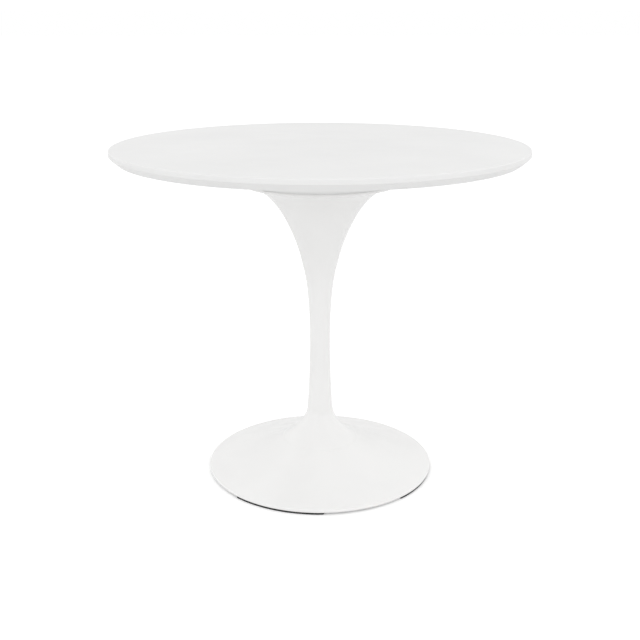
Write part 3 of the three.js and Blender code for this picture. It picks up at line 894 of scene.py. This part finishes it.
# The floor's whiteness and its faint glow: first as light on the object, then as the camera sees them,
# where a whiteness above 1 stands for an overexposed picture
FLOOR_TONE = (0.76, 1.12)
FLOOR_GLOW = (0.1, 0)
FLOOR_REACH = 40

# Wide lobes of light: direction, strength and exponent
SOFTBOXES = (
    ((0, 0, 1), 0.85, 2),
    ((-1, 0, 0), 1.1, 1.5),
    ((1, 0, 0), 1.1, 1.5),
    ((0, -1, 0), 1.1, 1.5),
    ((0, 1, 0), 0.8, 1.5),
)


def make_stage():
    """A wide white floor. Its underside is clear, so that it hides nothing from below."""
    corners = [(x * FLOOR_REACH, y * FLOOR_REACH, 0) for x, y in ((-1, -1), (1, -1), (1, 1), (-1, 1))]
    mesh = bpy.data.meshes.new("floor")
    mesh.from_pydata(corners, [], [(0, 1, 2, 3)])
    floor = bpy.data.objects.new("floor", mesh)
    bpy.context.scene.collection.objects.link(floor)
    material = bpy.data.materials.new("floor_white")
    material.use_nodes = True
    tree = material.node_tree
    tree.nodes.remove(tree.nodes["Principled BSDF"])
    paint = tree.nodes.new("ShaderNodeBsdfDiffuse")
    glow = tree.nodes.new("ShaderNodeEmission")
    white = tree.nodes.new("ShaderNodeAddShader")
    tree.links.new(paint.outputs["BSDF"], white.inputs[0])
    tree.links.new(glow.outputs["Emission"], white.inputs[1])
    seen = tree.nodes.new("ShaderNodeLightPath").outputs["Is Camera Ray"]
    amounts = ((FLOOR_TONE, paint.inputs["Color"]), (FLOOR_GLOW, glow.inputs["Strength"]))
    for (lighting, pictured), socket in amounts:
        choice = tree.nodes.new("ShaderNodeMapRange")
        choice.inputs["To Min"].default_value = lighting
        choice.inputs["To Max"].default_value = pictured
        tree.links.new(seen, choice.inputs["Value"])
        tree.links.new(choice.outputs["Result"], socket)
    clear = tree.nodes.new("ShaderNodeBsdfTransparent")
    side = tree.nodes.new("ShaderNodeNewGeometry")
    either = tree.nodes.new("ShaderNodeMixShader")
    tree.links.new(side.outputs["Backfacing"], either.inputs["Fac"])
    tree.links.new(white.outputs["Shader"], either.inputs[1])
    tree.links.new(clear.outputs["BSDF"], either.inputs[2])
    tree.links.new(either.outputs["Shader"], tree.nodes["Material Output"].inputs["Surface"])
    mesh.materials.append(material)


def make_light():
    """A white studio: wide soft lobes of light from above the floor's level, and a plain white backdrop
    that only the camera sees."""
    world = bpy.data.worlds.new("studio")
    world.use_nodes = True
    bpy.context.scene.world = world
    tree = world.node_tree

    def math_node(operation, first, second):
        node = tree.nodes.new("ShaderNodeMath")
        node.operation = operation
        for socket, value in zip(node.inputs, (first, second)):
            if isinstance(value, (int, float)):
                socket.default_value = value
            else:
                tree.links.new(value, socket)
        return node.outputs["Value"]

    direction = tree.nodes.new("ShaderNodeTexCoord").outputs["Generated"]
    total = None
    for axis, strength, exponent in SOFTBOXES:
        facing = tree.nodes.new("ShaderNodeVectorMath")
        facing.operation = "DOT_PRODUCT"
        tree.links.new(direction, facing.inputs[0])
        facing.inputs[1].default_value = axis
        lobe = math_node("POWER", math_node("MAXIMUM", facing.outputs["Value"], 0), exponent)
        lobe = math_node("MULTIPLY", lobe, strength)
        total = lobe if total is None else math_node("ADD", total, lobe)
    height = tree.nodes.new("ShaderNodeSeparateXYZ")
    tree.links.new(direction, height.inputs[0])
    above_floor = math_node("GREATER_THAN", height.outputs["Z"], 0)
    total = math_node("MULTIPLY", total, above_floor)
    seen = tree.nodes.new("ShaderNodeLightPath").outputs["Is Camera Ray"]
    background = tree.nodes["Background"]
    background.inputs["Color"].default_value = (1, 1, 1, 1)
    tree.links.new(math_node("ADD", total, seen), background.inputs["Strength"])


# The photo's viewpoint: lengths in metres, the tilt in degrees up from straight down
CAMERA_DISTANCE = 2.1467
CAMERA_HEIGHT = 1.0302
CAMERA_TILT = 72.56
CAMERA_LENS = 55.49


def make_camera():
    data = bpy.data.cameras.new("camera")
    data.sensor_width = 36
    data.lens = CAMERA_LENS
    camera = bpy.data.objects.new("camera", data)
    camera.location = (0, -CAMERA_DISTANCE, CAMERA_HEIGHT)
    camera.rotation_euler = (math.radians(CAMERA_TILT), 0, 0)
    bpy.context.scene.collection.objects.link(camera)
    bpy.context.scene.camera = camera
    bpy.context.scene.view_settings.view_transform = "Standard"


make_camera()
make_stage()
make_light()
make_tabletop()
make_hub()
make_hub_screws()
make_inserts()
make_plate()
make_gasket()
make_stem()
make_base()
make_pins()
make_floor_pads()
make_tie_rod()
make_nuts()
make_clamp_washer()
make_spring_washer()
make_ballast()
make_ballast_hardware()
